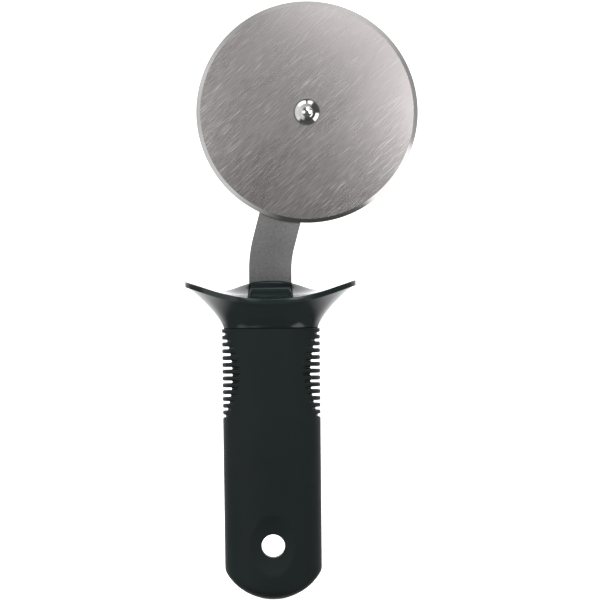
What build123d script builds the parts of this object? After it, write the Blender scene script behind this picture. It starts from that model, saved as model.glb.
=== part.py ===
from build123d import *
from math import radians, sqrt, tan
import os

# A pizza cutter that stands upright: the handle runs up +Z to the wheel,
# the wheel's face looks towards -Y, and the wheel turns about a line along Y.
# The origin is the centre of the hanging hole, in the handle's middle plane.
# All lengths are in millimetres and angles in degrees.

# Driving dimensions
wheel_diameter = 101.6
wheel_thickness = 1.2
handle_width = 45.0
handle_depth = 28.0
handle_end_width = 44.4
handle_end_depth = 26.6
seam_height = 99.6
end_distance = 24.4
hang_hole_diameter = 10.7
guard_width = 78.7
guard_depth = 44.0
guard_height = 13.5
arm_width = 19.5
arm_thickness = 2.5
arm_lean = 15.0
bend_rise = 11.0
bend_radius = 50.0
axle_rise = 66.1

# Cutting wheel: the bevel on each side runs down to a narrow edge
bevel_width = 1.85
edge_thickness = 0.2

# Hub: a riveted axle, with the wheel on a flanged bush between washers
shank_diameter = 6.0
running_clearance = 0.05
end_play = 0.15
bush_wall = 1.5
bush_flange_width = 2.5
bush_flange_thickness = 0.6
spacer_width = 5.0
spacer_thickness = 1.0
head_diameter = 12.0
head_edge = 0.5
dome_height = 2.1
tail_washer_width = 3.6
tail_washer_thickness = 0.8
tail_width = 1.9
tail_height = 1.3
tail_bevel = 0.5

# Grip: fins down both narrow sides, with gaps that get deeper in the middle
gap_count = 13
gap_pitch = 3.12
gap_width = 1.5
deepest_gap = 4.7
gaps_middle_drop = 21.15
scallop_length = 44.5
end_arc_radius = 25.2
end_rounding = 5.0
seam_rounding = 0.4
dish_depth = 2.9
dish_radius = 35.0
hole_rounding = 0.8

# Rigid core inside the grip, the arm's tang in it and the pins through both
core_wall = 2.2
core_cover = 5.5
core_end_height = 16.0
core_rounding_share = 0.176
spigot_width = 22.0
spigot_depth = 12.0
spigot_height = 7.0
tang_width = 13.0
tang_length = 70.0
tang_rounding = 4.0
pin_diameter = 4.0
pin_recess = 0.5
pin_height_shares = [0.78, 0.28]

# Thumb guard: a flare from the seam out to a saddle-shaped rim, and a neck
guard_base_width = 43.5
guard_base_depth = 27.0
rim_thickness = 1.6
rim_rounding = 0.5
saddle_radius = 88.0
saddle_arc_width = 56.0
flare_power_share = 1.45
flare_shares = [0.0, 0.12, 0.3, 0.5, 0.72, 1.0]
neck_height = 21.9
neck_dome = 0.85
lip_width = 19.9
lip_depth = 12.4
lip_height = 1.0
neck_rounding = 1.6
shoulder_depth = 0.6

# The neck's sections, from its foot to the lip: height, width and depth
neck_shares = [(0.58, 1.16, 1.84), (0.66, 1.07, 1.45), (0.76, 0.96, 1.08), (0.85, 0.9, 0.9)]

# The ridge between the neck and the tips: height, width and depth
ridge_shares = [
    (0.56, 0.6, 0.84),
    (0.66, 0.66, 0.46),
    (0.73, 0.69, 0.32),
    (0.79, 0.58, 0.24),
    (0.83, 0.47, 0.2),
    (0.88, 0.35, 0.17),
    (0.95, 0.24, 0.14),
]

overrun = 5.0

# Places that follow from the sizes above
end_height = -end_distance
rim_height = seam_height + guard_height
neck_top = seam_height + neck_height
bend_height = neck_top + bend_rise
axle_height = bend_height + axle_rise
axle_offset = axle_rise * tan(radians(arm_lean))
lip_edge_height = neck_top - neck_dome
shoulder_height = lip_edge_height - shoulder_depth
tang_end_height = seam_height - tang_length
core_width = handle_width - 2 * (deepest_gap + core_wall)
core_depth = handle_depth - 2 * core_cover
core_rounding = core_rounding_share * core_depth
handle_length = seam_height - end_height
gaps_middle_height = seam_height - gaps_middle_drop
hole_share = end_distance / handle_length
hole_depth = handle_end_depth + hole_share * (handle_depth - handle_end_depth)
dish_floor = hole_depth / 2 - dish_depth
pin_heights = [tang_end_height + share * tang_length for share in pin_height_shares]

# The hub's stack, as distances in front of the arm's middle plane
arm_front = arm_thickness / 2
spacer_front = arm_front + spacer_thickness
wheel_back = spacer_front + end_play
wheel_front = wheel_back + wheel_thickness
wheel_middle = (wheel_back + wheel_front) / 2
flange_front = wheel_front + bush_flange_thickness
head_seat = flange_front + end_play
head_front = head_seat + head_edge
tail_washer_back = -arm_front - tail_washer_thickness
tail_back = tail_washer_back - tail_height

shank_radius = shank_diameter / 2
bush_bore_radius = shank_radius + running_clearance
bush_radius = shank_radius + bush_wall
wheel_radius = wheel_diameter / 2

# Profiles of the turned pieces are drawn with the distance from the axle
# across, and the distance in front of the arm's middle plane upwards
hub_plane = Plane(origin=(axle_offset, 0, axle_height), x_dir=(1, 0, 0), z_dir=(0, 0, -1))
hub_axis = Axis(origin=(axle_offset, 0, axle_height), direction=(0, -1, 0))


def ring_points(inner_radius, outer_radius, back, front):
    """Corners of a plain ring's profile."""
    return [(inner_radius, back), (outer_radius, back), (outer_radius, front), (inner_radius, front)]


def saddle_sag(distance):
    """How far the rim has risen at this distance from the middle."""
    arc_half = saddle_arc_width / 2
    reach = min(distance, arc_half)
    drop = sqrt(saddle_radius**2 - reach**2)
    slope = reach / drop
    return saddle_radius - drop + (distance - reach) * slope


# Cutting wheel
with BuildPart() as cutting_wheel:
    with BuildSketch(hub_plane):
        with BuildLine():
            Polyline(
                (bush_radius, wheel_back),
                (wheel_radius - bevel_width, wheel_back),
                (wheel_radius, wheel_middle - edge_thickness / 2),
                (wheel_radius, wheel_middle + edge_thickness / 2),
                (wheel_radius - bevel_width, wheel_front),
                (bush_radius, wheel_front),
                close=True,
            )
        make_face()
    revolve(axis=hub_axis)
cutting_wheel.part.label = "cutting_wheel"

# Flanged bush, pressed into the wheel and free on the axle
with BuildPart() as wheel_bush:
    with BuildSketch(hub_plane):
        with BuildLine():
            Polyline(
                (bush_bore_radius, wheel_back),
                (bush_radius, wheel_back),
                (bush_radius, wheel_front),
                (bush_radius + bush_flange_width / 2, wheel_front),
                (bush_radius + bush_flange_width / 2, flange_front),
                (bush_bore_radius, flange_front),
                close=True,
            )
        make_face()
    revolve(axis=hub_axis)
wheel_bush.part.label = "wheel_bush"

# Axle rivet: a domed head, the shank and the tail that is peened over
with BuildPart() as axle_rivet:
    with BuildSketch(hub_plane):
        with BuildLine():
            Polyline(
                (0, tail_back),
                (shank_radius + tail_width - tail_bevel, tail_back),
                (shank_radius + tail_width, tail_back + tail_bevel),
                (shank_radius + tail_width, tail_washer_back),
                (shank_radius, tail_washer_back),
                (shank_radius, head_seat),
                (head_diameter / 2, head_seat),
                (head_diameter / 2, head_front),
            )
            dome_radius = (dome_height**2 + (head_diameter / 2) ** 2) / (2 * dome_height)
            RadiusArc((head_diameter / 2, head_front), (0, head_front + dome_height), -dome_radius)
            Line((0, head_front + dome_height), (0, tail_back))
        make_face()
    revolve(axis=hub_axis)
axle_rivet.part.label = "axle_rivet"

# Spacer that keeps the wheel off the arm
with BuildPart() as spacer_washer:
    with BuildSketch(hub_plane):
        with BuildLine():
            Polyline(
                *ring_points(shank_radius, shank_radius + spacer_width, arm_front, spacer_front),
                close=True,
            )
        make_face()
    revolve(axis=hub_axis)
spacer_washer.part.label = "spacer_washer"

# Washer under the rivet's tail
with BuildPart() as tail_washer:
    with BuildSketch(hub_plane):
        with BuildLine():
            Polyline(
                *ring_points(shank_radius, shank_radius + tail_washer_width, tail_washer_back, -arm_front),
                close=True,
            )
        make_face()
    revolve(axis=hub_axis)
tail_washer.part.label = "tail_washer"

# Arm: a strap with one bend in its own plane, and a narrow tang below its shoulders
with BuildPart() as arm:
    with BuildSketch(Plane.XZ):
        with BuildLine():
            FilletPolyline(
                (0, shoulder_height),
                (0, bend_height),
                (axle_offset, axle_height),
                radius=bend_radius,
            )
        trace(line_width=arm_width)
        with Locations((axle_offset, axle_height)):
            Circle(arm_width / 2)
        with Locations((0, shoulder_height)):
            Rectangle(tang_width, shoulder_height - tang_end_height, align=(Align.CENTER, Align.MAX))
        with Locations((axle_offset, axle_height)):
            Circle(shank_radius, mode=Mode.SUBTRACT)
        with Locations(*[(0, height) for height in pin_heights]):
            Circle(pin_diameter / 2, mode=Mode.SUBTRACT)
    extrude(amount=arm_thickness / 2, both=True)
    tang_corners = arm.edges().filter_by(Axis.Y).group_by(Axis.Z)[0]
    fillet(tang_corners, radius=tang_rounding)
arm.part.label = "arm"

# Pins that hold the tang in the core
tang_pins = []
for height in pin_heights:
    with BuildPart() as tang_pin:
        with BuildSketch(Plane.XZ):
            with Locations((0, height)):
                Circle(pin_diameter / 2)
        extrude(amount=core_depth / 2 - pin_recess, both=True)
    tang_pins.append(tang_pin)

# The outside of the core, which is also the hollow of the grip
with BuildPart() as core_blank:
    with BuildSketch(Plane.XY.offset(core_end_height)):
        Ellipse(core_width / 2, core_depth / 2)
    extrude(amount=seam_height - core_end_height)
    fillet(core_blank.faces().sort_by(Axis.Z)[0].edges(), radius=core_rounding)

# The spigot on top of the core, which is also the socket in the guard
with BuildPart() as spigot:
    with BuildSketch(Plane.XY.offset(seam_height)):
        Ellipse(spigot_width / 2, spigot_depth / 2)
    extrude(amount=spigot_height)

# Handle core
with BuildPart() as handle_core:
    add(core_blank.part)
    add(spigot.part)
    with BuildSketch(Plane.XY.offset(seam_height + spigot_height)):
        Rectangle(tang_width, arm_thickness)
    extrude(amount=-spigot_height - tang_length, mode=Mode.SUBTRACT)
    with BuildSketch(Plane.XZ):
        with Locations(*[(0, height) for height in pin_heights]):
            Circle(pin_diameter / 2)
    extrude(amount=core_depth, both=True, mode=Mode.SUBTRACT)
handle_core.part.label = "handle_core"

# Grip
with BuildPart() as grip:
    with BuildSketch(Plane.XY.offset(seam_height)):
        Ellipse(handle_width / 2, handle_depth / 2)
    with BuildSketch(Plane.XY.offset(end_height)):
        Ellipse(handle_end_width / 2, handle_end_depth / 2)
    loft()
    # The rounded end, cut to its outline as seen from the front
    with BuildSketch(Plane.XZ):
        with Locations((0, end_height + end_arc_radius)):
            Circle(end_arc_radius)
            Rectangle(
                2 * end_arc_radius,
                handle_length,
                align=(Align.CENTER, Align.MIN),
            )
    extrude(amount=handle_depth, both=True, mode=Mode.INTERSECT)
    fillet(grip.faces().sort_by(Axis.Z)[0].edges(), radius=end_rounding)
    fillet(grip.faces().sort_by(Axis.Z)[-1].edges(), radius=seam_rounding)
    # Gaps between the fins, turned about the handle's axis with round floors
    scallop_radius = ((scallop_length / 2) ** 2 + deepest_gap**2) / (2 * deepest_gap)
    with BuildSketch(Plane.XZ):
        for index in range(gap_count):
            rise = (gap_count - 1) / 2 - index
            height = gaps_middle_height + rise * gap_pitch
            shallower = scallop_radius - sqrt(scallop_radius**2 - (rise * gap_pitch) ** 2)
            floor = handle_width / 2 - deepest_gap + shallower
            with Locations((floor + gap_width / 2, height)):
                Circle(gap_width / 2)
                Rectangle(handle_width / 2, gap_width, align=(Align.MIN, Align.CENTER))
    revolve(axis=Axis.Z, mode=Mode.SUBTRACT)
    # The hanging hole, in a shallow dish on both faces
    with Locations((0, dish_floor + dish_radius, 0), (0, -dish_floor - dish_radius, 0)):
        Sphere(dish_radius, mode=Mode.SUBTRACT)
    with BuildSketch(Plane.XZ):
        Circle(hang_hole_diameter / 2)
    extrude(amount=handle_depth, both=True, mode=Mode.SUBTRACT)
    hole_edges = grip.edges().filter_by(GeomType.CIRCLE).filter_by(
        lambda edge: abs(edge.radius - hang_hole_diameter / 2) < running_clearance
        and abs(edge.arc_center.Z) < running_clearance
    )
    fillet(hole_edges, radius=hole_rounding)
    add(core_blank.part, mode=Mode.SUBTRACT)
grip.part.label = "grip"

# Thumb guard
with BuildPart() as thumb_guard:
    # The flare reaches the rim's oval under the tips and under the middle
    tip_rise = guard_height + saddle_sag(guard_width / 2)
    flare_height = tip_rise + rim_thickness
    for share in flare_shares:
        rise = share * flare_height
        width_share = (rise / (tip_rise - rim_thickness)) ** flare_power_share
        depth_share = (rise / (guard_height - rim_thickness)) ** flare_power_share
        with BuildSketch(Plane.XY.offset(seam_height + rise)):
            Ellipse(
                (guard_base_width + width_share * (guard_width - guard_base_width)) / 2,
                (guard_base_depth + depth_share * (guard_depth - guard_base_depth)) / 2,
            )
    loft()
    # The rim, cut to its oval as seen from above
    with BuildSketch(Plane.XY.offset(seam_height)):
        Ellipse(guard_width / 2, guard_depth / 2)
    extrude(amount=flare_height, mode=Mode.INTERSECT)
    # The saddle, cut to its outline as seen from the front
    arc_half = saddle_arc_width / 2
    wide_half = guard_width / 2 + overrun
    with BuildSketch(Plane.XZ):
        with BuildLine():
            saddle_arc = ThreePointArc(
                (-arc_half, rim_height + saddle_sag(arc_half)),
                (0, rim_height),
                (arc_half, rim_height + saddle_sag(arc_half)),
            )
            Polyline(
                saddle_arc @ 1,
                (wide_half, rim_height + saddle_sag(wide_half)),
                (wide_half, seam_height + flare_height + overrun),
                (-wide_half, seam_height + flare_height + overrun),
                (-wide_half, rim_height + saddle_sag(wide_half)),
                saddle_arc @ 0,
            )
        make_face()
    extrude(amount=guard_depth, both=True, mode=Mode.SUBTRACT)
    rim_band = thumb_guard.faces().filter_by(GeomType.EXTRUSION)
    fillet(rim_band.edges().filter_by(GeomType.BSPLINE), radius=rim_rounding)
    # The ridge that runs down from the neck towards both tips
    for height_share, width_share, depth_share in ridge_shares:
        with BuildSketch(Plane.XY.offset(seam_height + height_share * neck_height)):
            Ellipse(width_share * guard_width / 2, depth_share * guard_depth / 2)
    loft()
    # The neck, drawn in between its foot and its lip
    for height_share, width_share, depth_share in neck_shares:
        with BuildSketch(Plane.XY.offset(seam_height + height_share * neck_height)):
            RectangleRounded(width_share * lip_width, depth_share * lip_depth, neck_rounding)
    with BuildSketch(Plane.XY.offset(lip_edge_height - lip_height)):
        RectangleRounded(lip_width, lip_depth, neck_rounding)
    loft()
    with BuildSketch(Plane.XY.offset(lip_edge_height - lip_height)):
        RectangleRounded(lip_width, lip_depth, neck_rounding)
    extrude(amount=lip_height + neck_dome)
    # The neck's domed top
    with BuildSketch(Plane.XZ):
        with BuildLine():
            dome_arc = ThreePointArc(
                (-lip_width / 2, lip_edge_height),
                (0, neck_top),
                (lip_width / 2, lip_edge_height),
            )
            Polyline(
                dome_arc @ 1,
                (lip_width / 2, neck_top + overrun),
                (-lip_width / 2, neck_top + overrun),
                dome_arc @ 0,
            )
        make_face()
    extrude(amount=lip_depth, both=True, mode=Mode.SUBTRACT)
    # Room for the arm's shoulders and tang, and for the core's spigot
    with BuildSketch(Plane.XY.offset(shoulder_height)):
        Rectangle(arm_width + overrun, arm_thickness)
    extrude(amount=neck_top - shoulder_height, mode=Mode.SUBTRACT)
    with BuildSketch(Plane.XY.offset(seam_height)):
        Rectangle(tang_width, arm_thickness)
    extrude(amount=neck_height, mode=Mode.SUBTRACT)
    add(spigot.part, mode=Mode.SUBTRACT)
thumb_guard.part.label = "thumb_guard"

os.makedirs("parts", exist_ok=True)
export_step(cutting_wheel.part, "parts/cutting_wheel.step")
export_step(wheel_bush.part, "parts/wheel_bush.step")
export_step(axle_rivet.part, "parts/axle_rivet.step")
export_step(spacer_washer.part, "parts/spacer_washer.step")
export_step(tail_washer.part, "parts/tail_washer.step")
export_step(arm.part, "parts/arm.step")
export_step(handle_core.part, "parts/handle_core.step")
export_step(grip.part, "parts/grip.step")
export_step(thumb_guard.part, "parts/thumb_guard.step")
for number, tang_pin in enumerate(tang_pins, start=1):
    tang_pin.part.label = f"tang_pin_{number}"
    export_step(tang_pin.part, f"parts/tang_pin_{number}.step")
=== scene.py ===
# %% [markdown]
# # A pizza cutter, from its steel wheel down to its finned handle
# The measured model is loaded first, as a fixed frame in metres. Pieces whose
# shape needs softer edges or finer detail are made again on top of it, and each
# one rides on the same moving body as the piece that it stands for.

# %% Load the measured model
from math import atan2, cos, degrees, exp, hypot, pi, radians, sin, sqrt, tan

import bmesh
import bpy
from mathutils import Matrix, Vector


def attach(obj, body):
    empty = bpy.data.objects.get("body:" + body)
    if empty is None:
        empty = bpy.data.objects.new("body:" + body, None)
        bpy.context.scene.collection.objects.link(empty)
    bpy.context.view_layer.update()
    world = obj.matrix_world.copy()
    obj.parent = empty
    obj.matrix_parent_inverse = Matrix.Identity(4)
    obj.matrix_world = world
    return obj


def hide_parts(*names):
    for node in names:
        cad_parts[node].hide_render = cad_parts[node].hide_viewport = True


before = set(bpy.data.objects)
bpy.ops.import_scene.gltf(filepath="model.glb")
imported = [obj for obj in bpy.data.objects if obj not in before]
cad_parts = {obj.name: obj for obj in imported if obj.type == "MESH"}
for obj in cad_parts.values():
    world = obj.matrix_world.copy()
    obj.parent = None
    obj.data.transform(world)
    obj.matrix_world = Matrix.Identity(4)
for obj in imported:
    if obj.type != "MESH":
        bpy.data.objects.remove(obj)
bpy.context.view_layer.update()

scene = bpy.context.scene

# %% [markdown]
# Drawings of kitchen tools are in millimetres and Blender's frame is in metres.
# Every size of a piece below is in millimetres, and one factor turns it into metres
# when its mesh is finished, so that the numbers stay easy to compare with a ruler.
# The floor, the lights and the fine relief of the finishes are in metres.

# %% Main sizes, in millimetres
MM = 0.001
WHEEL_RADIUS = 50.8
AXLE_X, AXLE_Z = 17.711, 198.6
SEAM_Z, HANDLE_END_Z = 99.6, -24.4
LIP_Z, NECK_TOP_Z = 120.65, 121.5
MERGE_DISTANCE = 0.002
print("whole height", round(AXLE_Z + WHEEL_RADIUS - HANDLE_END_Z, 1), "mm")

# %% [markdown]
# The photograph looks straight at the wheel's face, level with the middle of the
# tool, and the tool leans to the left by two thirds of a degree. A long lens from
# 4 m away keeps the same flat look. The lean is given to the camera's up
# direction, so that the tool itself stays upright.

# %% Camera
CAMERA_AT = Vector((13.52, -4000.0, 112.5)) * MM
FRAME_WIDTH = 275.2 * MM
LEAN = radians(0.66)
SENSOR_WIDTH, FAR_CLIP = 36.0, 30.0
camera_data = bpy.data.cameras.new("camera")
camera_data.sensor_width = SENSOR_WIDTH
camera_data.lens = SENSOR_WIDTH * -CAMERA_AT.y / FRAME_WIDTH
camera_data.clip_end = FAR_CLIP
camera = bpy.data.objects.new("camera", camera_data)
camera_right = Vector((cos(LEAN), 0.0, -sin(LEAN)))
camera_up = Vector((sin(LEAN), 0.0, cos(LEAN)))
camera_back = Vector((0.0, -1.0, 0.0))
camera_turn = Matrix((camera_right, camera_up, camera_back)).transposed().to_4x4()
camera.matrix_world = Matrix.Translation(CAMERA_AT) @ camera_turn
scene.collection.objects.link(camera)
scene.camera = camera
print("lens", round(camera_data.lens, 1), "mm")

# %% [markdown]
# Every new piece goes through the same last steps: doubled points are merged,
# faces are turned outwards, edges sharper than a given angle stay crisp, the
# piece is given its body and its finish, and the node that it stands for is hidden.

# %% Finish a piece
def finish_piece(name, bm, body, stands_for, material, crisp=35.0):
    """Make a piece from a shape in millimetres. Edges over crisp degrees stay sharp."""
    bmesh.ops.remove_doubles(bm, verts=bm.verts, dist=MERGE_DISTANCE)
    bmesh.ops.dissolve_degenerate(bm, edges=bm.edges, dist=MERGE_DISTANCE)
    bmesh.ops.recalc_face_normals(bm, faces=bm.faces)
    bmesh.ops.scale(bm, vec=(MM, MM, MM), verts=bm.verts)
    mesh = bpy.data.meshes.new(name)
    bm.to_mesh(mesh)
    bm.free()
    mesh.shade_smooth()
    mesh.set_sharp_from_angle(angle=radians(crisp))
    mesh.materials.append(material)
    piece = bpy.data.objects.new(name, mesh)
    scene.collection.objects.link(piece)
    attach(piece, body)
    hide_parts(*stands_for)
    print(name, len(mesh.polygons), "faces")
    return piece

# %% [markdown]
# The handle and the guard change from section to section like a vase, so both
# grow from one circle of points. The circle is extruded ring by ring, and a rule
# puts each point of the new ring in its place from its turn round the axis. Most
# rings are ovals, and a skin is closed by a ring that shrinks to one point.

# %% Grow a skin ring by ring
def oval(turn, halves, height, inset=0.0, share=1.0):
    """A point of an oval, given by its half width and half depth, less an inset."""
    x = (halves[0] - inset) * share * cos(turn)
    y = (halves[1] - inset) * share * sin(turn)
    return Vector((x, y, height))


def centre_point(height):
    return lambda turn: Vector((0, 0, height))


def newest(made):
    """The points and the edges at the far side of what was just extruded."""
    points = [item for item in made if isinstance(item, bmesh.types.BMVert)]
    fresh = set(points)
    edges = [
        item for item in made
        if isinstance(item, bmesh.types.BMEdge) and fresh.issuperset(item.verts)
    ]
    return points, edges


def grow_rings(places, count):
    """A skin of rings with one number of points. Each place puts a point from its turn."""
    bm = bmesh.new()
    turn = bm.verts.layers.float.new("turn")
    ring = bmesh.ops.create_circle(bm, segments=count, radius=1.0)["verts"]
    edges = bm.edges[:]
    for point in ring:
        point[turn] = atan2(point.co.y, point.co.x)
    for index, place in enumerate(places):
        if index:
            ring, edges = newest(bmesh.ops.extrude_edge_only(bm, edges=edges)["geom"])
        for point in ring:
            point.co = place(point[turn])
    return bm

# %% [markdown]
# Turned pieces are spun from a profile about the axle, as on a lathe. The profile
# gives the distance from the axle's line and the distance in front of the arm's
# middle plane.

# %% Turn a profile about the axle
def turn_profile(profile, steps):
    """A full turn of a profile of radius and distance in front, in so many steps."""
    bm = bmesh.new()
    points = [bm.verts.new((AXLE_X + radius, -front, AXLE_Z)) for radius, front in profile]
    edges = [bm.edges.new(pair) for pair in zip(points, points[1:])]
    bmesh.ops.spin(
        bm, geom=points + edges, cent=(AXLE_X, 0, AXLE_Z), axis=(0, 1, 0),
        angle=2 * pi, steps=steps, use_merge=True,
    )
    return bm

# %% [markdown]
# Holes and slots are cut the way a drill or a mould insert would make them: one
# closed shape is taken away from another, or joined to it.

# %% Cut or join two closed shapes
def combine(body_bm, tool_bm, operation):
    """The first shape after the second is taken from it, or joined to it."""
    pair = []
    for bm in (body_bm, tool_bm):
        bmesh.ops.remove_doubles(bm, verts=bm.verts, dist=MERGE_DISTANCE)
        bmesh.ops.recalc_face_normals(bm, faces=bm.faces)
        mesh = bpy.data.meshes.new("rough")
        bm.to_mesh(mesh)
        bm.free()
        pair.append(bpy.data.objects.new("rough", mesh))
        scene.collection.objects.link(pair[-1])
    body, tool = pair
    modifier = body.modifiers.new("cut", "BOOLEAN")
    modifier.solver = "EXACT"
    modifier.operation = operation
    modifier.object = tool
    bpy.context.view_layer.update()
    solved = body.evaluated_get(bpy.context.evaluated_depsgraph_get())
    result = bmesh.new()
    result.from_mesh(solved.to_mesh())
    solved.to_mesh_clear()
    for item in pair:
        rough = item.data
        bpy.data.objects.remove(item)
        bpy.data.meshes.remove(rough)
    return result

# %% [markdown]
# Finishes are made from nodes. This helper starts one: it sets what is the same
# all over the surface, and gives back the nodes, their links and the shader.

# %% Start a finish
def start_finish(name, **values):
    material = bpy.data.materials.new(name)
    material.use_nodes = True
    nodes = material.node_tree.nodes
    shader = nodes["Principled BSDF"]
    for socket, value in values.items():
        shader.inputs[socket.replace("_", " ")].default_value = value
    print("finish:", name)
    return material, nodes, material.node_tree.links, shader

# %% [markdown]
# Nearly all the finishes are made of the same few layers: a grain that is read
# in the piece's own place, a ramp that turns the grain into a colour or a
# roughness, and a bump. A grain can also be drawn out into scratches, and faded
# along a direction. These helpers add one layer each.

# %% Layers of a finish
def grain(nodes, links, scale, detail=4.0, drawn=(1, 1, 1), turn=(0, 0, 0)):
    """Noise that gets finer with scale, drawn out along axes that can be turned."""
    place = nodes.new("ShaderNodeTexCoord")
    mapping = nodes.new("ShaderNodeMapping")
    mapping.vector_type = "TEXTURE"
    mapping.inputs["Rotation"].default_value = turn
    mapping.inputs["Scale"].default_value = drawn
    noise = nodes.new("ShaderNodeTexNoise")
    noise.inputs["Scale"].default_value = scale
    noise.inputs["Detail"].default_value = detail
    links.new(place.outputs["Object"], mapping.inputs["Vector"])
    links.new(mapping.outputs["Vector"], noise.inputs["Vector"])
    return noise.outputs["Fac"]


def spread(nodes, links, source, low, high, start=0.3, stop=0.7):
    """A value from low to high while the source goes from start to stop."""
    ramp = nodes.new("ShaderNodeMapRange")
    ramp.inputs["From Min"].default_value = start
    ramp.inputs["From Max"].default_value = stop
    ramp.inputs["To Min"].default_value = low
    ramp.inputs["To Max"].default_value = high
    links.new(source, ramp.inputs["Value"])
    return ramp.outputs["Result"]


def along(nodes, links, direction):
    """How far each point lies along a direction, in metres."""
    place = nodes.new("ShaderNodeTexCoord")
    product = nodes.new("ShaderNodeVectorMath")
    product.operation = "DOT_PRODUCT"
    product.inputs[1].default_value = direction
    links.new(place.outputs["Object"], product.inputs[0])
    return product.outputs["Value"]


def faded(nodes, links, source, strength, even):
    """The source where the strength is 1, and one even value where it is 0."""
    blend = nodes.new("ShaderNodeMix")
    blend.data_type = "FLOAT"
    blend.inputs["A"].default_value = even
    links.new(strength, blend.inputs["Factor"])
    links.new(source, blend.inputs["B"])
    return blend.outputs["Result"]


def tint(nodes, links, source, dark, light, start=0.3, stop=0.7):
    """A colour from dark to light while the source goes from start to stop."""
    ramp = nodes.new("ShaderNodeValToRGB")
    ramp.color_ramp.elements[0].position = start
    ramp.color_ramp.elements[0].color = (*dark, 1)
    ramp.color_ramp.elements[1].position = stop
    ramp.color_ramp.elements[1].color = (*light, 1)
    links.new(source, ramp.inputs["Fac"])
    return ramp.outputs["Color"]


def relief(nodes, links, source, depth, strength=1.0, under=None):
    """Small bumps from a source, laid over another relief if there is one."""
    bump = nodes.new("ShaderNodeBump")
    bump.inputs["Distance"].default_value = depth
    bump.inputs["Strength"].default_value = strength
    links.new(source, bump.inputs["Height"])
    if under is not None:
        links.new(under, bump.inputs["Normal"])
    return bump.outputs["Normal"]

# %% [markdown]
# The wheel is ground with a belt, which leaves long fine scratches all in one
# direction, from the lower left to the upper right. The grain is stretched along
# that direction. A few deeper scratches are brighter, and all of them show most
# on the worn side at the lower left.

# %% Finish of the wheel
SCRATCHES = (0, radians(-42), 0)
WORN_SIDE, WORN_FROM, WORN_TO = (-0.6, 0.0, -0.8), -0.2, -0.14
LEAST_WORN, SCRATCH_DEPTH = 0.22, 0.000006


def make_wheel_steel():
    material, nodes, links, shader = start_finish("wheel_steel", Metallic=1.0)
    side = along(nodes, links, WORN_SIDE)
    worn = spread(nodes, links, side, LEAST_WORN, 1.0, WORN_FROM, WORN_TO)
    fine = grain(nodes, links, 1900, detail=4, drawn=(10, 1, 0.5), turn=SCRATCHES)
    fine = faded(nodes, links, fine, worn, 0.5)
    sparse = grain(nodes, links, 1300, detail=1, drawn=(14, 1, 0.5), turn=SCRATCHES)
    broad = grain(nodes, links, 60, detail=3, drawn=(3, 1, 1), turn=SCRATCHES)
    scratch = spread(nodes, links, sparse, 0.0, 1.0, start=0.62, stop=0.72)
    scratch = faded(nodes, links, scratch, worn, 0.0)
    steel = tint(nodes, links, fine, (0.33, 0.305, 0.305), (0.70, 0.66, 0.66))
    marked = nodes.new("ShaderNodeMix")
    marked.data_type = "RGBA"
    marked.inputs["B"].default_value = (0.88, 0.84, 0.84, 1)
    links.new(scratch, marked.inputs["Factor"])
    links.new(steel, marked.inputs["A"])
    links.new(marked.outputs["Result"], shader.inputs["Base Color"])
    links.new(spread(nodes, links, broad, 0.25, 0.29), shader.inputs["Roughness"])
    ground = relief(nodes, links, fine, SCRATCH_DEPTH, 0.2)
    cut = relief(nodes, links, scratch, SCRATCH_DEPTH, 0.2, under=ground)
    links.new(cut, shader.inputs["Normal"])
    return material


def make_bevel_steel():
    material, nodes, links, shader = start_finish("bevel_steel", Metallic=1.0)
    fine = grain(nodes, links, 900, detail=3)
    steel = tint(nodes, links, fine, (0.64, 0.63, 0.62), (0.72, 0.71, 0.70))
    links.new(steel, shader.inputs["Base Color"])
    links.new(spread(nodes, links, fine, 0.08, 0.13), shader.inputs["Roughness"])
    return material


wheel_steel = make_wheel_steel()
bevel_steel = make_bevel_steel()
print("scratches lie", round(degrees(-SCRATCHES[1])), "degrees up from level")

# %% [markdown]
# The other metals are the mirror-polished rivet, the tumbled arm and the plain
# washers and pins. Only the size of the grain and the roughness tell them apart.

# %% Finishes of the other metals
def make_metal(name, dark, light, smooth, rough, scale, depth):
    material, nodes, links, shader = start_finish(name, Metallic=1.0)
    source = grain(nodes, links, scale, detail=5)
    links.new(tint(nodes, links, source, dark, light), shader.inputs["Base Color"])
    links.new(spread(nodes, links, source, smooth, rough), shader.inputs["Roughness"])
    links.new(relief(nodes, links, source, depth, 0.4), shader.inputs["Normal"])
    return material


polished_steel = make_metal(
    "polished_steel", (0.80, 0.79, 0.78), (0.88, 0.87, 0.86), 0.05, 0.11, 300, 0.000004,
)
arm_steel = make_metal(
    "arm_steel", (0.28, 0.275, 0.275), (0.355, 0.35, 0.35), 0.38, 0.46, 900, 0.000008,
)
pin_steel = make_metal(
    "pin_steel", (0.50, 0.50, 0.50), (0.60, 0.60, 0.60), 0.22, 0.34, 500, 0.000006,
)

# %% [markdown]
# The moulded pieces are a glossy black guard, a soft matt grip, and the nylon
# and stiff plastic that stay inside. Each has a fine moulded grain of its own.

# %% Finishes of the moulded pieces
def make_plastic(name, dark, light, smooth, rough, scale, depth, **values):
    material, nodes, links, shader = start_finish(name, **values)
    source = grain(nodes, links, scale, detail=5)
    cloud = grain(nodes, links, 35, detail=3)
    links.new(tint(nodes, links, cloud, dark, light), shader.inputs["Base Color"])
    links.new(spread(nodes, links, source, smooth, rough), shader.inputs["Roughness"])
    links.new(relief(nodes, links, source, depth, 0.5), shader.inputs["Normal"])
    return material


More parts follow.
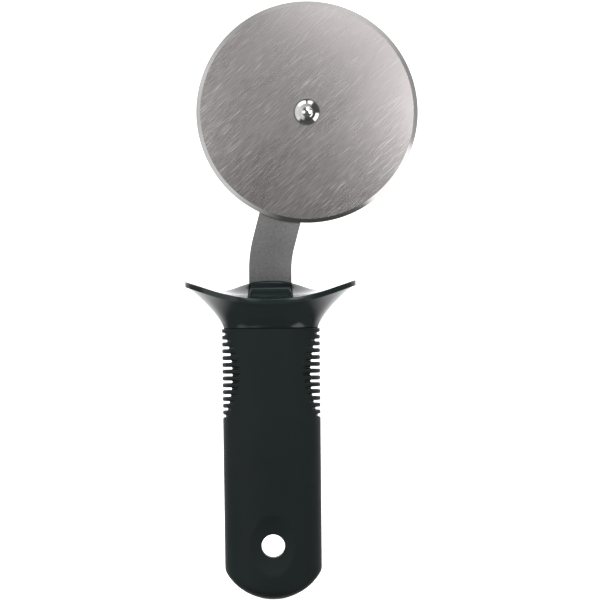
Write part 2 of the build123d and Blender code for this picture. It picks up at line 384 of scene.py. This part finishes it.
guard_gloss = make_plastic(
    "guard_gloss", (0.0238, 0.0368, 0.0362), (0.027, 0.0416, 0.041), 0.10, 0.16, 260, 0.000004,
    IOR=1.55,
)
grip_rubber = make_plastic(
    "grip_rubber", (0.018, 0.028, 0.0265), (0.0215, 0.0325, 0.031), 0.5, 0.6, 1500, 0.00002,
    Specular_IOR_Level=0.22,
)
bush_nylon = make_plastic(
    "bush_nylon", (0.62, 0.61, 0.58), (0.70, 0.69, 0.66), 0.35, 0.5, 900, 0.00001,
)
core_plastic = make_plastic(
    "core_plastic", (0.02, 0.02, 0.021), (0.03, 0.03, 0.032), 0.35, 0.5, 900, 0.00001,
)

# %% [markdown]
# Pieces that keep their measured shape are hidden inside the tool or flat against
# it. They only need a better finish than the plain colour they came with.

# %% Finishes of the carried-over pieces
carried_over = {
    "wheel_bush": bush_nylon,
    "spacer_washer": bush_nylon,
    "tail_washer": pin_steel,
    "handle_core": core_plastic,
    "tang_pin_1": pin_steel,
    "tang_pin_2": pin_steel,
}
for node_name, material in carried_over.items():
    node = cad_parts[node_name]
    node.data.materials.clear()
    node.data.materials.append(material)
print("carried over:", ", ".join(carried_over))

# %% [markdown]
# The wheel is a flat disc, 1.2 mm thick, and its rim is ground from both sides to
# a narrow edge. Its profile is turned about the axle in steps fine enough for the
# outline to look round. The ground ring is brighter than the face, so its faces
# get a finish of their own.

# %% Cutting wheel
BUSH_RADIUS, FACE_RING = 4.5, 25.0
WHEEL_BACK, WHEEL_FRONT = 2.4, 3.6
BEVEL_START = WHEEL_RADIUS - 1.85
EDGE_HALF = 0.1
wheel_middle = (WHEEL_BACK + WHEEL_FRONT) / 2
wheel_profile = [
    (BUSH_RADIUS, WHEEL_BACK),
    (FACE_RING, WHEEL_BACK),
    (BEVEL_START, WHEEL_BACK),
    (WHEEL_RADIUS, wheel_middle - EDGE_HALF),
    (WHEEL_RADIUS, wheel_middle + EDGE_HALF),
    (BEVEL_START, WHEEL_FRONT),
    (FACE_RING, WHEEL_FRONT),
    (BUSH_RADIUS, WHEEL_FRONT),
    (BUSH_RADIUS, WHEEL_BACK),
]
wheel_bm = turn_profile(wheel_profile, steps=256)
for face in wheel_bm.faces:
    middle = face.calc_center_median()
    from_axle = hypot(middle.x - AXLE_X, middle.z - AXLE_Z)
    face.material_index = 1 if from_axle > BEVEL_START else 0
cutting_wheel = finish_piece(
    "wheel_disc", wheel_bm, "wheel", ["cutting_wheel"], wheel_steel, crisp=8.0,
)
cutting_wheel.data.materials.append(bevel_steel)

# %% [markdown]
# The rivet's head is a low polished dome over a narrow cylindrical edge. Its
# shank goes through the arm, and its tail is peened over behind. The dome is part
# of a sphere, so its profile is an arc that ends on the axle.

# %% Axle rivet
SHANK_RADIUS, HEAD_RADIUS, TAIL_RADIUS = 3.0, 6.0, 4.9
HEAD_SEAT, HEAD_FRONT, HEAD_EDGE = 4.35, 4.85, 0.1
TAIL_SEAT, TAIL_BACK = -2.05, -3.35
TAIL_ROUND = [(1.2, 0.06), (0.5, 0.25), (0.1, 0.6)]
DOME, DOME_STEPS = 2.1, 14
dome_radius = (DOME ** 2 + HEAD_RADIUS ** 2) / (2 * DOME)
dome_centre = HEAD_FRONT + DOME - dome_radius
dome_half_angle = atan2(HEAD_RADIUS, HEAD_FRONT - dome_centre)
rivet_profile = [(0, TAIL_BACK)]
rivet_profile += [(TAIL_RADIUS - inset, TAIL_BACK + rise) for inset, rise in TAIL_ROUND]
rivet_profile += [
    (TAIL_RADIUS, TAIL_SEAT),
    (SHANK_RADIUS, TAIL_SEAT),
    (SHANK_RADIUS, HEAD_SEAT),
    (HEAD_RADIUS - HEAD_EDGE, HEAD_SEAT),
    (HEAD_RADIUS, HEAD_SEAT + HEAD_EDGE),
]
for step in range(DOME_STEPS + 1):
    angle = dome_half_angle * (1 - step / DOME_STEPS)
    rivet_profile.append((dome_radius * sin(angle), dome_centre + dome_radius * cos(angle)))
rivet_bm = turn_profile(rivet_profile, steps=96)
finish_piece("rivet", rivet_bm, "handle", ["axle_rivet"], polished_steel)

# %% [markdown]
# The arm is stamped from strip and then tumbled, which takes the sharpness off all
# its edges. Its outline is already right in the measured model, so a copy of that
# mesh is merged, its flat triangles are joined into whole faces, and each hard edge
# gets a small bevel.

# %% Arm
TUMBLED_EDGE, FLAT, HARD = 0.3, radians(0.5), radians(60)
arm_bm = bmesh.new()
arm_bm.from_mesh(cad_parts["arm"].data)
bmesh.ops.scale(arm_bm, vec=(1 / MM, 1 / MM, 1 / MM), verts=arm_bm.verts)
bmesh.ops.remove_doubles(arm_bm, verts=arm_bm.verts, dist=MERGE_DISTANCE)
bmesh.ops.dissolve_limit(arm_bm, angle_limit=FLAT, verts=arm_bm.verts, edges=arm_bm.edges)
hard_edges = [
    edge for edge in arm_bm.edges if edge.is_manifold and edge.calc_face_angle() > HARD
]
bmesh.ops.bevel(
    arm_bm, geom=hard_edges, offset=TUMBLED_EDGE, offset_type="OFFSET", affect="EDGES",
    segments=3, profile=0.5, material=-1, clamp_overlap=True,
)
bmesh.ops.triangulate(arm_bm, faces=[face for face in arm_bm.faces if len(face.verts) > 4])
finish_piece("arm_strap", arm_bm, "handle", ["arm"], arm_steel, crisp=30.0)

# %% [markdown]
# The grip is an ellipse in every section and hardly tapers. Its end follows an
# arc as seen from the front, and a 5 mm round leads from the side into it. The
# round is an arc in the plane across the wall, from the wall's foot to the end.

# %% Sections of the grip
END_HALVES, SEAM_HALVES = (22.2, 13.3), (22.5, 14.0)
END_ARC_RADIUS, END_ROUND = 25.2, 5.0
END_ARC_Z = HANDLE_END_Z + END_ARC_RADIUS


def grip_halves(height):
    """Half the width and half the depth of the grip at a height."""
    share = (height - HANDLE_END_Z) / (SEAM_Z - HANDLE_END_Z)
    return tuple(low + (high - low) * share for low, high in zip(END_HALVES, SEAM_HALVES))


def end_height(x):
    return END_ARC_Z - sqrt(END_ARC_RADIUS ** 2 - x ** 2)


def end_round(turn, share):
    """A point of the round at the grip's end: share 0 is on the wall, 1 is on the end."""
    half_x, half_y = grip_halves(HANDLE_END_Z)
    wall = oval(turn, (half_x, half_y), 0.0)
    inward = -Vector((cos(turn) / half_x, sin(turn) / half_y, 0.0)).normalized()
    corner = end_height(wall.x)
    slope = wall.x / sqrt(END_ARC_RADIUS ** 2 - wall.x ** 2) * inward.x
    lean = atan2(-slope, 1.0)
    turned = pi / 2 - lean
    reach = END_ROUND * tan(turned / 2)
    angle = share * turned
    depth = END_ROUND * (1 - cos(angle))
    return wall + inward * depth + Vector((0, 0, corner + reach - END_ROUND * sin(angle)))


print("grip at the seam", SEAM_HALVES, "mm half width and half depth")

# %% [markdown]
# A shallow round dish surrounds the hanging hole on both faces. Points near it
# are moved back onto a sphere, and a soft minimum keeps the dish's rim from
# looking like a cut.

# %% Dish round the hanging hole
DISH_RADIUS, DISH_FLOOR, DISH_SOFTNESS = 35.0, 10.54, 0.25


def dished(point):
    across = DISH_RADIUS ** 2 - point.x ** 2 - point.z ** 2
    if across <= 0 or abs(point.y) < DISH_FLOOR:
        return point
    limit = DISH_FLOOR + DISH_RADIUS - sqrt(across)
    gap = limit - abs(point.y)
    blend = max(0.0, DISH_SOFTNESS - abs(gap)) / DISH_SOFTNESS
    depth = min(limit, abs(point.y)) - blend ** 2 * DISH_SOFTNESS / 4
    return Vector((point.x, depth if point.y > 0 else -depth, point.z))


dish_width = 2 * sqrt(DISH_RADIUS ** 2 - (DISH_FLOOR + DISH_RADIUS - END_HALVES[1]) ** 2)
print("dish about", round(dish_width, 1), "mm across")

# %% [markdown]
# Thirteen gaps run round each narrow side of the handle and leave soft fins
# between them. The gaps are deepest in the middle of the row. Each has a round
# floor, the fins have round tips, and a gap fades out where its floor meets the
# face of the handle.

# %% Rings of the fins
GAPS, GAP_PITCH, GAP_HALF = 13, 3.12, 0.57
GAPS_MIDDLE_Z, DEEPEST_GAP, SCALLOP_HALF = 78.45, 4.7, 22.25
TIP_ROUND, ROUND_SHARES, GAP_STEPS = 0.65, (0.0, 0.33, 0.67, 1.0), 8
scallop_radius = (SCALLOP_HALF ** 2 + DEEPEST_GAP ** 2) / (2 * DEEPEST_GAP)


def grip_ring(height, radius=None, tip=None):
    """A ring of the grip. radius holds it back in a gap, and tip rounds a fin's edge."""
    def place(turn):
        level = height
        half_x, half_y = grip_halves(level)
        flat = Vector((half_x * cos(turn), half_y * sin(turn)))
        reach = flat.length
        if tip is not None:
            floor, side, share = tip
            round_now = min(TIP_ROUND, max(0.0, reach - floor) / 2)
            level += side * round_now * (1 - sin(share * pi / 2))
            reach -= round_now * (1 - cos(share * pi / 2))
        if radius is not None:
            reach = min(reach, radius)
        flat = flat.normalized() * reach
        return Vector((flat.x, flat.y, level))
    return place


fin_rings = []
for number in range(GAPS):
    rise = (number - (GAPS - 1) / 2) * GAP_PITCH
    middle = GAPS_MIDDLE_Z + rise
    floor = SEAM_HALVES[0] - DEEPEST_GAP + scallop_radius - sqrt(scallop_radius ** 2 - rise ** 2)
    for share in ROUND_SHARES:
        fin_rings.append(grip_ring(middle - GAP_HALF, tip=(floor, -1, share)))
    for step in range(GAP_STEPS + 1):
        angle = pi * (step / GAP_STEPS - 0.5)
        reach = floor + GAP_HALF * (1 - cos(angle))
        fin_rings.append(grip_ring(middle + GAP_HALF * sin(angle), reach))
    for share in reversed(ROUND_SHARES):
        fin_rings.append(grip_ring(middle + GAP_HALF, tip=(floor, 1, share)))
print("fins use", len(fin_rings), "rings")

# %% [markdown]
# The whole grip grows from the middle of its end to the seam: first rings across
# the end, then the round, then close rings where the dish is, a few plain ones, and
# then the fins. A small round at the seam ends it, and the top closes flat.

# %% Grip
RING_POINTS, END_RINGS, CORNER_RINGS, DISH_RINGS = 240, 12, 8, 60
DISH_TOP_Z, PLAIN_HEIGHTS, SEAM_ROUND = 16.0, (24.0, 34.0, 44.0, 54.0), 0.4


def across_end(share):
    def place(turn):
        rim = end_round(turn, 1.0)
        return Vector((rim.x * share, rim.y * share, end_height(rim.x * share)))
    return place


def round_corner(share):
    return lambda turn: end_round(turn, share)


def beside_dish(share):
    def place(turn):
        foot = end_round(turn, 0.0).z
        height = foot + share * (DISH_TOP_Z - foot)
        return dished(oval(turn, grip_halves(height if share else HANDLE_END_Z), height))
    return place


def seam_place(share):
    """A ring of the seam's small round: share 0 is on the side, 1 is on the top."""
    inset = SEAM_ROUND * (1 - cos(share * pi / 2))
    height = SEAM_Z - SEAM_ROUND * (1 - sin(share * pi / 2))
    return lambda turn: oval(turn, grip_halves(SEAM_Z), height, inset)


grip_places = [across_end(step / END_RINGS) for step in range(END_RINGS + 1)]
grip_places += [round_corner(1 - step / CORNER_RINGS) for step in range(1, CORNER_RINGS)]
grip_places += [beside_dish(step / DISH_RINGS) for step in range(DISH_RINGS + 1)]
grip_places += [grip_ring(height) for height in PLAIN_HEIGHTS]
grip_places += fin_rings
grip_places += [seam_place(share) for share in ROUND_SHARES]
grip_places.append(centre_point(SEAM_Z))
grip_bm = grow_rings(grip_places, RING_POINTS)
print("grip grows from", len(grip_places), "rings")

# %% [markdown]
# The hanging hole goes right through. Its cutter is turned about the hole's own
# line, with the round of the lip in its profile, and it is a little longer than
# the handle is deep, so that it cuts cleanly through both dishes.

# %% Hanging hole
HOLE_RADIUS, LIP_ROUND, LIP_START, CUTTER_END = 5.35, 0.8, 10.28, 20.0
ARC_STEPS = 6
hole_profile = [(0.0, CUTTER_END), (HOLE_RADIUS + LIP_ROUND, CUTTER_END)]
for step in range(ARC_STEPS + 1):
    angle = pi / 2 * (1 - step / ARC_STEPS)
    radius = HOLE_RADIUS + LIP_ROUND * (1 - cos(angle))
    hole_profile.append((radius, LIP_START + LIP_ROUND * sin(angle)))
hole_profile += [(radius, -front) for radius, front in reversed(hole_profile)]
hole_bm = bmesh.new()
hole_points = [hole_bm.verts.new((radius, front, 0)) for radius, front in hole_profile]
hole_edges = [hole_bm.edges.new(pair) for pair in zip(hole_points, hole_points[1:])]
bmesh.ops.spin(
    hole_bm, geom=hole_points + hole_edges, cent=(0, 0, 0), axis=(0, 1, 0),
    angle=2 * pi, steps=72, use_merge=True,
)
grip_bm = combine(grip_bm, hole_bm, "DIFFERENCE")
print("hanging hole", 2 * HOLE_RADIUS, "mm across")

# %% [markdown]
# The grip is moulded over a rigid core, so it is hollow down the middle. The core
# is an ellipse with a rounded end, and the same rings as before make its cutter.

# %% Hollow of the grip
CORE_HALVES, CORE_END_Z, CORE_ROUND = (15.6, 8.5), 16.0, 2.99
OVERRUN = 0.5


def core_place(share, inset=0.0, rise=0.0):
    return lambda turn: oval(turn, CORE_HALVES, CORE_END_Z + rise, inset, share)


core_places = [core_place(0.0, CORE_ROUND), core_place(0.5, CORE_ROUND)]
for step in range(ARC_STEPS + 1):
    angle = pi / 2 * step / ARC_STEPS
    inset, rise = CORE_ROUND * (1 - sin(angle)), CORE_ROUND * (1 - cos(angle))
    core_places.append(core_place(1.0, inset, rise))
core_top = SEAM_Z + OVERRUN - CORE_END_Z
core_places += [core_place(share, 0.0, core_top) for share in (1.0, 0.5, 0.0)]
grip_bm = combine(grip_bm, grow_rings(core_places, count=96), "DIFFERENCE")
finish_piece(
    "grip_shell", grip_bm, "handle", ["grip"], grip_rubber, crisp=40.0,
)

# %% [markdown]
# The guard is an oval saddle: its rim dips in the middle and rises to both tips,
# and its top swells into a hill that carries the neck. Two smooth rules give the
# top's height, one for the saddle and one for the hill, which is a little thinner
# where the neck hides it.

# %% Shape of the guard's top
GUARD_RIM = (39.35, 22.0)
SADDLE_RADIUS, SADDLE_ARC_HALF = 88.0, 28.0
RIM_Z = SEAM_Z + 13.5
HILL_HEIGHT, HILL_LENGTH, HILL_DEPTH = 7.9, 17.9, 6.8
LENGTH_POWER, DEPTH_POWER = 3, 1.3
NECK_SIDE, NECK_BLEND, BEHIND_NECK = 7.0, 3.0, 0.7


def saddle_height(x):
    reach = min(abs(x), SADDLE_ARC_HALF)
    drop = sqrt(SADDLE_RADIUS ** 2 - reach ** 2)
    return RIM_Z + SADDLE_RADIUS - drop + (abs(x) - reach) * reach / drop


def top_height(x, y):
    beside_neck = min(1.0, max(0.0, (abs(x) - NECK_SIDE) / NECK_BLEND))
    depth = HILL_DEPTH * (BEHIND_NECK + (1 - BEHIND_NECK) * beside_neck)
    along_x = exp(-(abs(x) / HILL_LENGTH) ** LENGTH_POWER)
    along_y = exp(-(abs(y) / depth) ** DEPTH_POWER)
    hill = along_x * along_y
    return saddle_height(x) + HILL_HEIGHT * hill


print("rim at the tip", round(saddle_height(GUARD_RIM[0]), 2), "mm, at the middle", RIM_Z, "mm")

# %% [markdown]
# From the seam the guard flares out like a bell to its rim, which is a thin band
# with a rounded top edge and a narrow ledge below. The same rings then go inwards
# over the top.

# %% Guard's rings
GUARD_BASE, FOOT_BEVEL = (21.75, 13.5), 0.3
RIM_THICKNESS, RIM_ROUND, FLARE_POWER = 1.75, 0.45, 1.45
BAND_HEIGHT = 2.5
FLARE_STEPS, FLARE_RINGS, RIM_STEPS, TOP_STEPS = 30, 27, 4, 60


def foot_place(share):
    """A ring of the small bevel at the guard's foot: share 1 is on the seam."""
    height = SEAM_Z + FOOT_BEVEL * (1 - share)
    return lambda turn: oval(turn, GUARD_BASE, height, FOOT_BEVEL * share)


def flare_place(share):
    """A ring of the bell: share 0 is on the seam, and 1 is under the rim."""
    grown = share ** FLARE_POWER
    halves = [base + grown * (rim - base) for base, rim in zip(GUARD_BASE, GUARD_RIM)]

    def place(turn):
        under = saddle_height(GUARD_RIM[0] * cos(turn)) - RIM_THICKNESS
        return oval(turn, halves, SEAM_Z + share * (under - SEAM_Z))
    return place


def flare_end(turn):
    """The flare's last ring, where the ledge under the rim's band starts."""
    rim = saddle_height(GUARD_RIM[0] * cos(turn))
    return flare_place((rim - BAND_HEIGHT - SEAM_Z) / (rim - RIM_THICKNESS - SEAM_Z))(turn)


def band_place(inset, drop):
    """A ring of the rim: inset from the oval, and drop below the top's edge."""
    def place(turn):
        return oval(turn, GUARD_RIM, saddle_height(GUARD_RIM[0] * cos(turn)) - drop, inset)
    return place


def top_place(share):
    def place(turn):
        x = (GUARD_RIM[0] - RIM_ROUND) * share * cos(turn)
        y = (GUARD_RIM[1] - RIM_ROUND) * share * sin(turn)
        return Vector((x, y, top_height(x, y)))
    return place


guard_places = [centre_point(SEAM_Z)]
guard_places += [foot_place(share) for share in (1.0, 0.5, 0.0)]
guard_places += [flare_place(step / FLARE_STEPS) for step in range(1, FLARE_RINGS + 1)]
guard_places += [flare_end, band_place(0.0, BAND_HEIGHT), band_place(0.0, RIM_ROUND)]
for step in range(1, RIM_STEPS + 1):
    angle = step / RIM_STEPS * pi / 2
    guard_places.append(band_place(RIM_ROUND * (1 - cos(angle)), RIM_ROUND * (1 - sin(angle))))
guard_places += [top_place(1 - step / TOP_STEPS) for step in range(1, TOP_STEPS + 1)]
guard_bm = grow_rings(guard_places, RING_POINTS)
print("guard grows from", len(guard_places), "rings")

# %% [markdown]
# The neck is a waisted post with flat faces and a lip round its top, which the
# arm comes out of. It grows in the same way, from rounded rectangles, and a smooth
# curve through a few measured sections gives the ones in between.

# %% Neck
NECK_SECTIONS = [
    (108.0, 13.5, 14.0), (112.3, 11.55, 11.4), (114.05, 10.65, 9.0), (116.2, 9.55, 6.7),
    (118.2, 8.95, 5.6), (119.3, 9.35, 5.9), (119.8, 9.85, 6.15), (120.1, 9.95, 6.2),
]
LIP_EDGE_Z = 120.55
LIP_HALVES, LIP_BEVEL, LIP_DROP = (9.95, 6.2), 0.6, 0.25
CORNER, SIDE = 0.4, 0.3
CURVE_STEPS, LIP_STEPS = 4, 8


def rounded_rectangle(half_x, half_y, turn):
    """A point of a rectangle with round corners. A quarter turn goes up the end as far
    as SIDE, then round the corner, and along the face for as long again."""
    share = atan2(abs(sin(turn)), abs(cos(turn))) / (pi / 2)
    if share < SIDE:
        x, y = half_x, (half_y - CORNER) * share / SIDE
    elif share > 1 - SIDE:
        x, y = (half_x - CORNER) * (1 - share) / SIDE, half_y
    else:
        angle = (share - SIDE) / (1 - 2 * SIDE) * pi / 2
        x, y = half_x - CORNER * (1 - cos(angle)), half_y - CORNER * (1 - sin(angle))
    return x * (1 if cos(turn) > 0 else -1), y * (1 if sin(turn) > 0 else -1)


def neck_ring(height, half_x, half_y):
    def place(turn):
        x, y = rounded_rectangle(half_x, half_y, turn)
        return Vector((x, y, height))
    return place


def neck_top(share, inset, drop=0.0):
    """A ring of the lip's top, which is domed along X."""
    def place(turn):
        x, y = rounded_rectangle(LIP_HALVES[0] - inset, LIP_HALVES[1] - inset, turn)
        dome = (NECK_TOP_Z - LIP_Z) * (1 - (x * share / LIP_HALVES[0]) ** 2)
        return Vector((x * share, y * share, LIP_Z - drop + dome))
    return place


def curve_value(a, b, c, d, t):
    """A value on the curve from b to c, led by the values before and after them."""
    bend = (2 * a - 5 * b + 4 * c - d) * t ** 2
    return 0.5 * (2 * b + (c - a) * t + bend + (3 * b - a - 3 * c + d) * t ** 3)


def between(sections, steps):
    """Sections in between, on a smooth curve through the ones given."""
    rows = []
    for index in range(len(sections) - 1):
        before = sections[max(index - 1, 0)]
        start, stop = sections[index], sections[index + 1]
        after = sections[min(index + 2, len(sections) - 1)]
        for step in range(steps):
            values = zip(before, start, stop, after)
            rows.append(tuple(curve_value(*four, step / steps) for four in values))
    return rows + [sections[-1]]


neck_places = [centre_point(NECK_SECTIONS[0][0])]
neck_places += [neck_ring(*row) for row in between(NECK_SECTIONS, CURVE_STEPS)]
neck_places += [neck_ring(LIP_EDGE_Z, *LIP_HALVES), neck_top(1.0, LIP_BEVEL / 2, LIP_DROP)]
neck_places += [neck_top(1 - step / LIP_STEPS, LIP_BEVEL) for step in range(LIP_STEPS + 1)]
guard_bm = combine(guard_bm, grow_rings(neck_places, count=128), "UNION")
print("neck grows from", len(neck_places), "rings")

# %% [markdown]
# The arm goes down through the guard: a wide slot holds its shoulders, a narrower
# one its tang, and the core's spigot fits a socket from below. Two boxes and a
# short post cut them.

# %% Slots of the guard
SHOULDER_Z, TANG_HALF, ARM_HALF, ARM_THICKNESS = 120.05, 6.5, 9.75, 2.5
SPIGOT_HALVES, SPIGOT_HEIGHT = (11.0, 6.0), 7.0
SLOT_PLAY = 0.02


def slot_box(half_x, low, high):
    bm = bmesh.new()
    bmesh.ops.create_cube(bm, size=1.0)
    size = (2 * (half_x + SLOT_PLAY), ARM_THICKNESS + 2 * SLOT_PLAY, high - low)
    bmesh.ops.scale(bm, vec=size, verts=bm.verts)
    bmesh.ops.translate(bm, vec=(0, 0, (low + high) / 2), verts=bm.verts)
    return bm


def spigot_place(share, height):
    return lambda turn: oval(turn, SPIGOT_HALVES, height, share=share)


spigot_top = SEAM_Z + SPIGOT_HEIGHT
spigot_places = [spigot_place(share, SEAM_Z - OVERRUN) for share in (0.0, 0.5, 1.0)]
spigot_places += [spigot_place(share, spigot_top) for share in (1.0, 0.5, 0.0)]
tang_slot = slot_box(TANG_HALF, spigot_top - OVERRUN, SHOULDER_Z + OVERRUN)
arm_slot = slot_box(ARM_HALF, SHOULDER_Z, NECK_TOP_Z + OVERRUN)
for cutter in (tang_slot, arm_slot, grow_rings(spigot_places, count=96)):
    guard_bm = combine(guard_bm, cutter, "DIFFERENCE")
finish_piece(
    "guard_shell", guard_bm, "handle", ["thumb_guard"], guard_gloss, crisp=30.0,
)

# %% [markdown]
# A pale floor curves up behind the tool, so that no corner or horizon shows. The
# floor is grown from one edge: extruded back, bent up in a quarter turn, and
# extruded up.

# %% Floor and backdrop
FLOOR_HALF, FLOOR_FRONT, FLOOR_BACK, SWEEP, BACK_HEIGHT = 6.0, -0.05, 4.6, 1.2, 2.0
FLOOR_GLOW = 1.1
floor_z = HANDLE_END_Z * MM
floor_bm = bmesh.new()
ends = [floor_bm.verts.new((side * FLOOR_HALF, FLOOR_FRONT, floor_z)) for side in (-1, 1)]
edges = [floor_bm.edges.new(ends)]
ends, edges = newest(bmesh.ops.extrude_edge_only(floor_bm, edges=edges)["geom"])
bmesh.ops.translate(floor_bm, vec=(0, FLOOR_BACK - FLOOR_FRONT, 0), verts=ends)
swept = bmesh.ops.spin(
    floor_bm, geom=ends + edges, cent=(0, FLOOR_BACK, floor_z + SWEEP), axis=(1, 0, 0),
    angle=pi / 2, steps=24, use_merge=False,
)["geom_last"]
edges = [item for item in swept if isinstance(item, bmesh.types.BMEdge)]
ends, edges = newest(bmesh.ops.extrude_edge_only(floor_bm, edges=edges)["geom"])
bmesh.ops.translate(floor_bm, vec=(0, 0, BACK_HEIGHT), verts=ends)
floor_mesh = bpy.data.meshes.new("floor")
floor_bm.to_mesh(floor_mesh)
floor_bm.free()
floor_mesh.shade_smooth()
floor = bpy.data.objects.new("floor", floor_mesh)
scene.collection.objects.link(floor)
floor.visible_glossy = False
floor.visible_diffuse = False


def make_floor_finish():
    material, nodes, links, shader = start_finish("floor_white", Roughness=0.9)
    cloud = grain(nodes, links, 3, detail=3)
    white = tint(nodes, links, cloud, (0.93, 0.93, 0.93), (0.95, 0.95, 0.95))
    links.new(white, shader.inputs["Base Color"])
    shader.inputs["Emission Color"].default_value = (1, 1, 1, 1)
    shader.inputs["Emission Strength"].default_value = FLOOR_GLOW
    return material


floor_mesh.materials.append(make_floor_finish())
print("floor and backdrop", len(floor_mesh.polygons), "faces")

# %% [markdown]
# The studio is a bright white room behind the tool and a dim one behind the
# camera, so black gloss is dark in front and flashes white at its edges. What
# the ground edge of the wheel mirrors lies in a ring about 30 degrees off the
# camera's line, so that ring is painted by the clock: dark below, a white card at
# the lower right, and soft cards at the left and the top. The rivet's dome mirrors
# two wider rings too, which have cards of their own. The stops are in degrees,
# clockwise from the top, and each has its strength.

# %% Soft cards by the clock
CLOCK = [
    (0, 0.80), (22, 0.95), (45, 0.70), (62, 0.42), (90, 0.44), (105, 0.55), (108, 1.6), (142, 1.6),
    (148, 0.15), (165, 0.07), (195, 0.07), (205, 0.35), (225, 0.85), (255, 0.85), (270, 0.70),
    (292, 0.9), (315, 0.57), (330, 0.44), (345, 0.72),
]
MIDDLE_CLOCK = [
    (0, 0.4), (30, 0.35), (40, 0.08), (85, 0.08), (100, 0.06), (195, 0.06), (215, 0.65),
    (300, 0.75), (335, 0.5),
]
OUTER_CLOCK = [
    (0, 0.05), (3, 0.05), (6, 1.5), (28, 1.4), (36, 0.08), (92, 0.08), (100, 1.6), (137, 1.6),
    (142, 0.08), (220, 0.08), (232, 0.9), (250, 0.8), (300, 0.8), (318, 1.5), (354, 1.5),
    (357, 0.05),
]
world = bpy.data.worlds.new("studio")
scene.world = world
world.use_nodes = True
world_nodes, world_links = world.node_tree.nodes, world.node_tree.links


def fade(source, start, stop, low=0.0, high=1.0):
    """A share that goes from low to high while the source goes from start to stop."""
    return spread(world_nodes, world_links, source, low, high, start, stop)


direction = world_nodes.new("ShaderNodeTexCoord")
parts = world_nodes.new("ShaderNodeSeparateXYZ")
world_links.new(direction.outputs["Generated"], parts.inputs["Vector"])
clock = world_nodes.new("ShaderNodeMath")
clock.operation = "ARCTAN2"
world_links.new(parts.outputs["X"], clock.inputs[0])
world_links.new(parts.outputs["Z"], clock.inputs[1])
turned = fade(clock.outputs["Value"], -pi, pi)


def paint_clock(hours):
    """A ring of soft cards, as a ramp round the camera's line."""
    cards = world_nodes.new("ShaderNodeValToRGB")
    points = cards.color_ramp.elements
    stops = sorted((((hour + 180) % 360) / 360, value) for hour, value in hours)
    for index, (position, value) in enumerate(stops):
        card = points[index] if index < 2 else points.new(position)
        card.position = position
        card.color = (value, value, value, 1)
    world_links.new(turned, cards.inputs["Fac"])
    return cards.outputs["Color"]


inner_ring = paint_clock(CLOCK)
middle_ring = paint_clock(MIDDLE_CLOCK)
outer_ring = paint_clock(OUTER_CLOCK)
print("stops of the three rings:", len(CLOCK), len(MIDDLE_CLOCK), len(OUTER_CLOCK))

# %% [markdown]
# How strong the light is from a direction depends on how far that direction points
# behind the tool, and on its height. Soft steps lead from one strength to the next:
# from the dark behind the camera over the three rings and the sides to the room
# behind the tool, and then from the lower part to the upper. The camera itself sees
# plain white.

# %% Light from all round
BEHIND_CAMERA, BACK_ROOM, BACK_LEVEL, SIDES, ABOVE = 0.115, 2.2, 0.8, 0.14, 0.05


def mix_light(share, low, high):
    """A strength from low to high by a share. Both are numbers or sockets."""
    mix = world_nodes.new("ShaderNodeMix")
    for name, value in (("A", low), ("B", high)):
        if isinstance(value, float):
            mix.inputs[name].default_value = value
        else:
            world_links.new(value, mix.inputs[name])
    world_links.new(share, mix.inputs["Factor"])
    return mix.outputs["Result"]


outwards = parts.outputs["Y"]
to_cards = fade(outwards, -0.895, -0.885)
to_middle = fade(outwards, -0.838, -0.825)
to_outer = fade(outwards, -0.68, -0.64)
to_sides = fade(outwards, -0.38, -0.30)
to_back_above = fade(outwards, 0.0, 0.4)
to_back_level = fade(outwards, 0.3, 0.5)
to_far_level = fade(outwards, 0.75, 0.9)
to_back_below = fade(outwards, 0.25, 0.75)
wide_rings = mix_light(to_outer, middle_ring, outer_ring)
rings = mix_light(to_middle, inner_ring, wide_rings)
front = mix_light(to_sides, mix_light(to_cards, BEHIND_CAMERA, rings), SIDES)
level = mix_light(to_far_level, mix_light(to_back_level, front, BACK_LEVEL), BACK_ROOM)
upper = mix_light(to_back_above, front, BACK_ROOM)
lower = mix_light(to_back_below, front, BACK_ROOM)
height = parts.outputs["Z"]
to_upper = fade(height, 0.2, 0.35)
to_lower = fade(height, -0.42, -0.28, low=1.0, high=0.0)
to_above = fade(height, 0.88, 0.96)
walls = mix_light(to_lower, mix_light(to_upper, level, upper), lower)
all_round = mix_light(to_above, walls, ABOVE)
seen = world_nodes.new("ShaderNodeLightPath")
strength = mix_light(seen.outputs["Is Camera Ray"], all_round, 1.0)
world_links.new(strength, world_nodes["Background"].inputs["Strength"])
world_nodes["Background"].inputs["Color"].default_value = (1, 1, 1, 1)
print("light behind the camera", BEHIND_CAMERA, "and behind the tool", BACK_ROOM)

# %% [markdown]
# Three small soft lights stand close in front of the wheel, just off the camera's
# line. Because they are near, each one mostly lights the side of the brushed steel
# that it stands beside, which makes the slow change of tone across the wheel. Their
# places are given by the clock too.

# %% Near lights
def soft_light(name, place, aim, size, power):
    data = bpy.data.lights.new(name, "AREA")
    data.shape = "DISK"
    data.size = size
    data.energy = power
    light = bpy.data.objects.new(name, data)
    light.location = place
    light.rotation_euler = (Vector(aim) - Vector(place)).to_track_quat("-Z", "Y").to_euler()
    light.visible_camera = False
    scene.collection.objects.link(light)


WHEEL_CENTRE = Vector((AXLE_X * MM, 0, AXLE_Z * MM))
BESIDE, IN_FRONT, LIGHT_SIZE = 0.0975, Vector((0, -0.3, 0)), 0.10
NEAR_LIGHTS = [("right", 86, 0.085), ("left", 272, 0.030), ("top", 14, 0.052)]
for side, hour, power in NEAR_LIGHTS:
    beside = Vector((sin(radians(hour)), 0, cos(radians(hour)))) * BESIDE
    soft_light("near_" + side, WHEEL_CENTRE + beside + IN_FRONT, WHEEL_CENTRE, LIGHT_SIZE, power)
scene.view_settings.view_transform = "Standard"
print("near lights:", len(NEAR_LIGHTS))
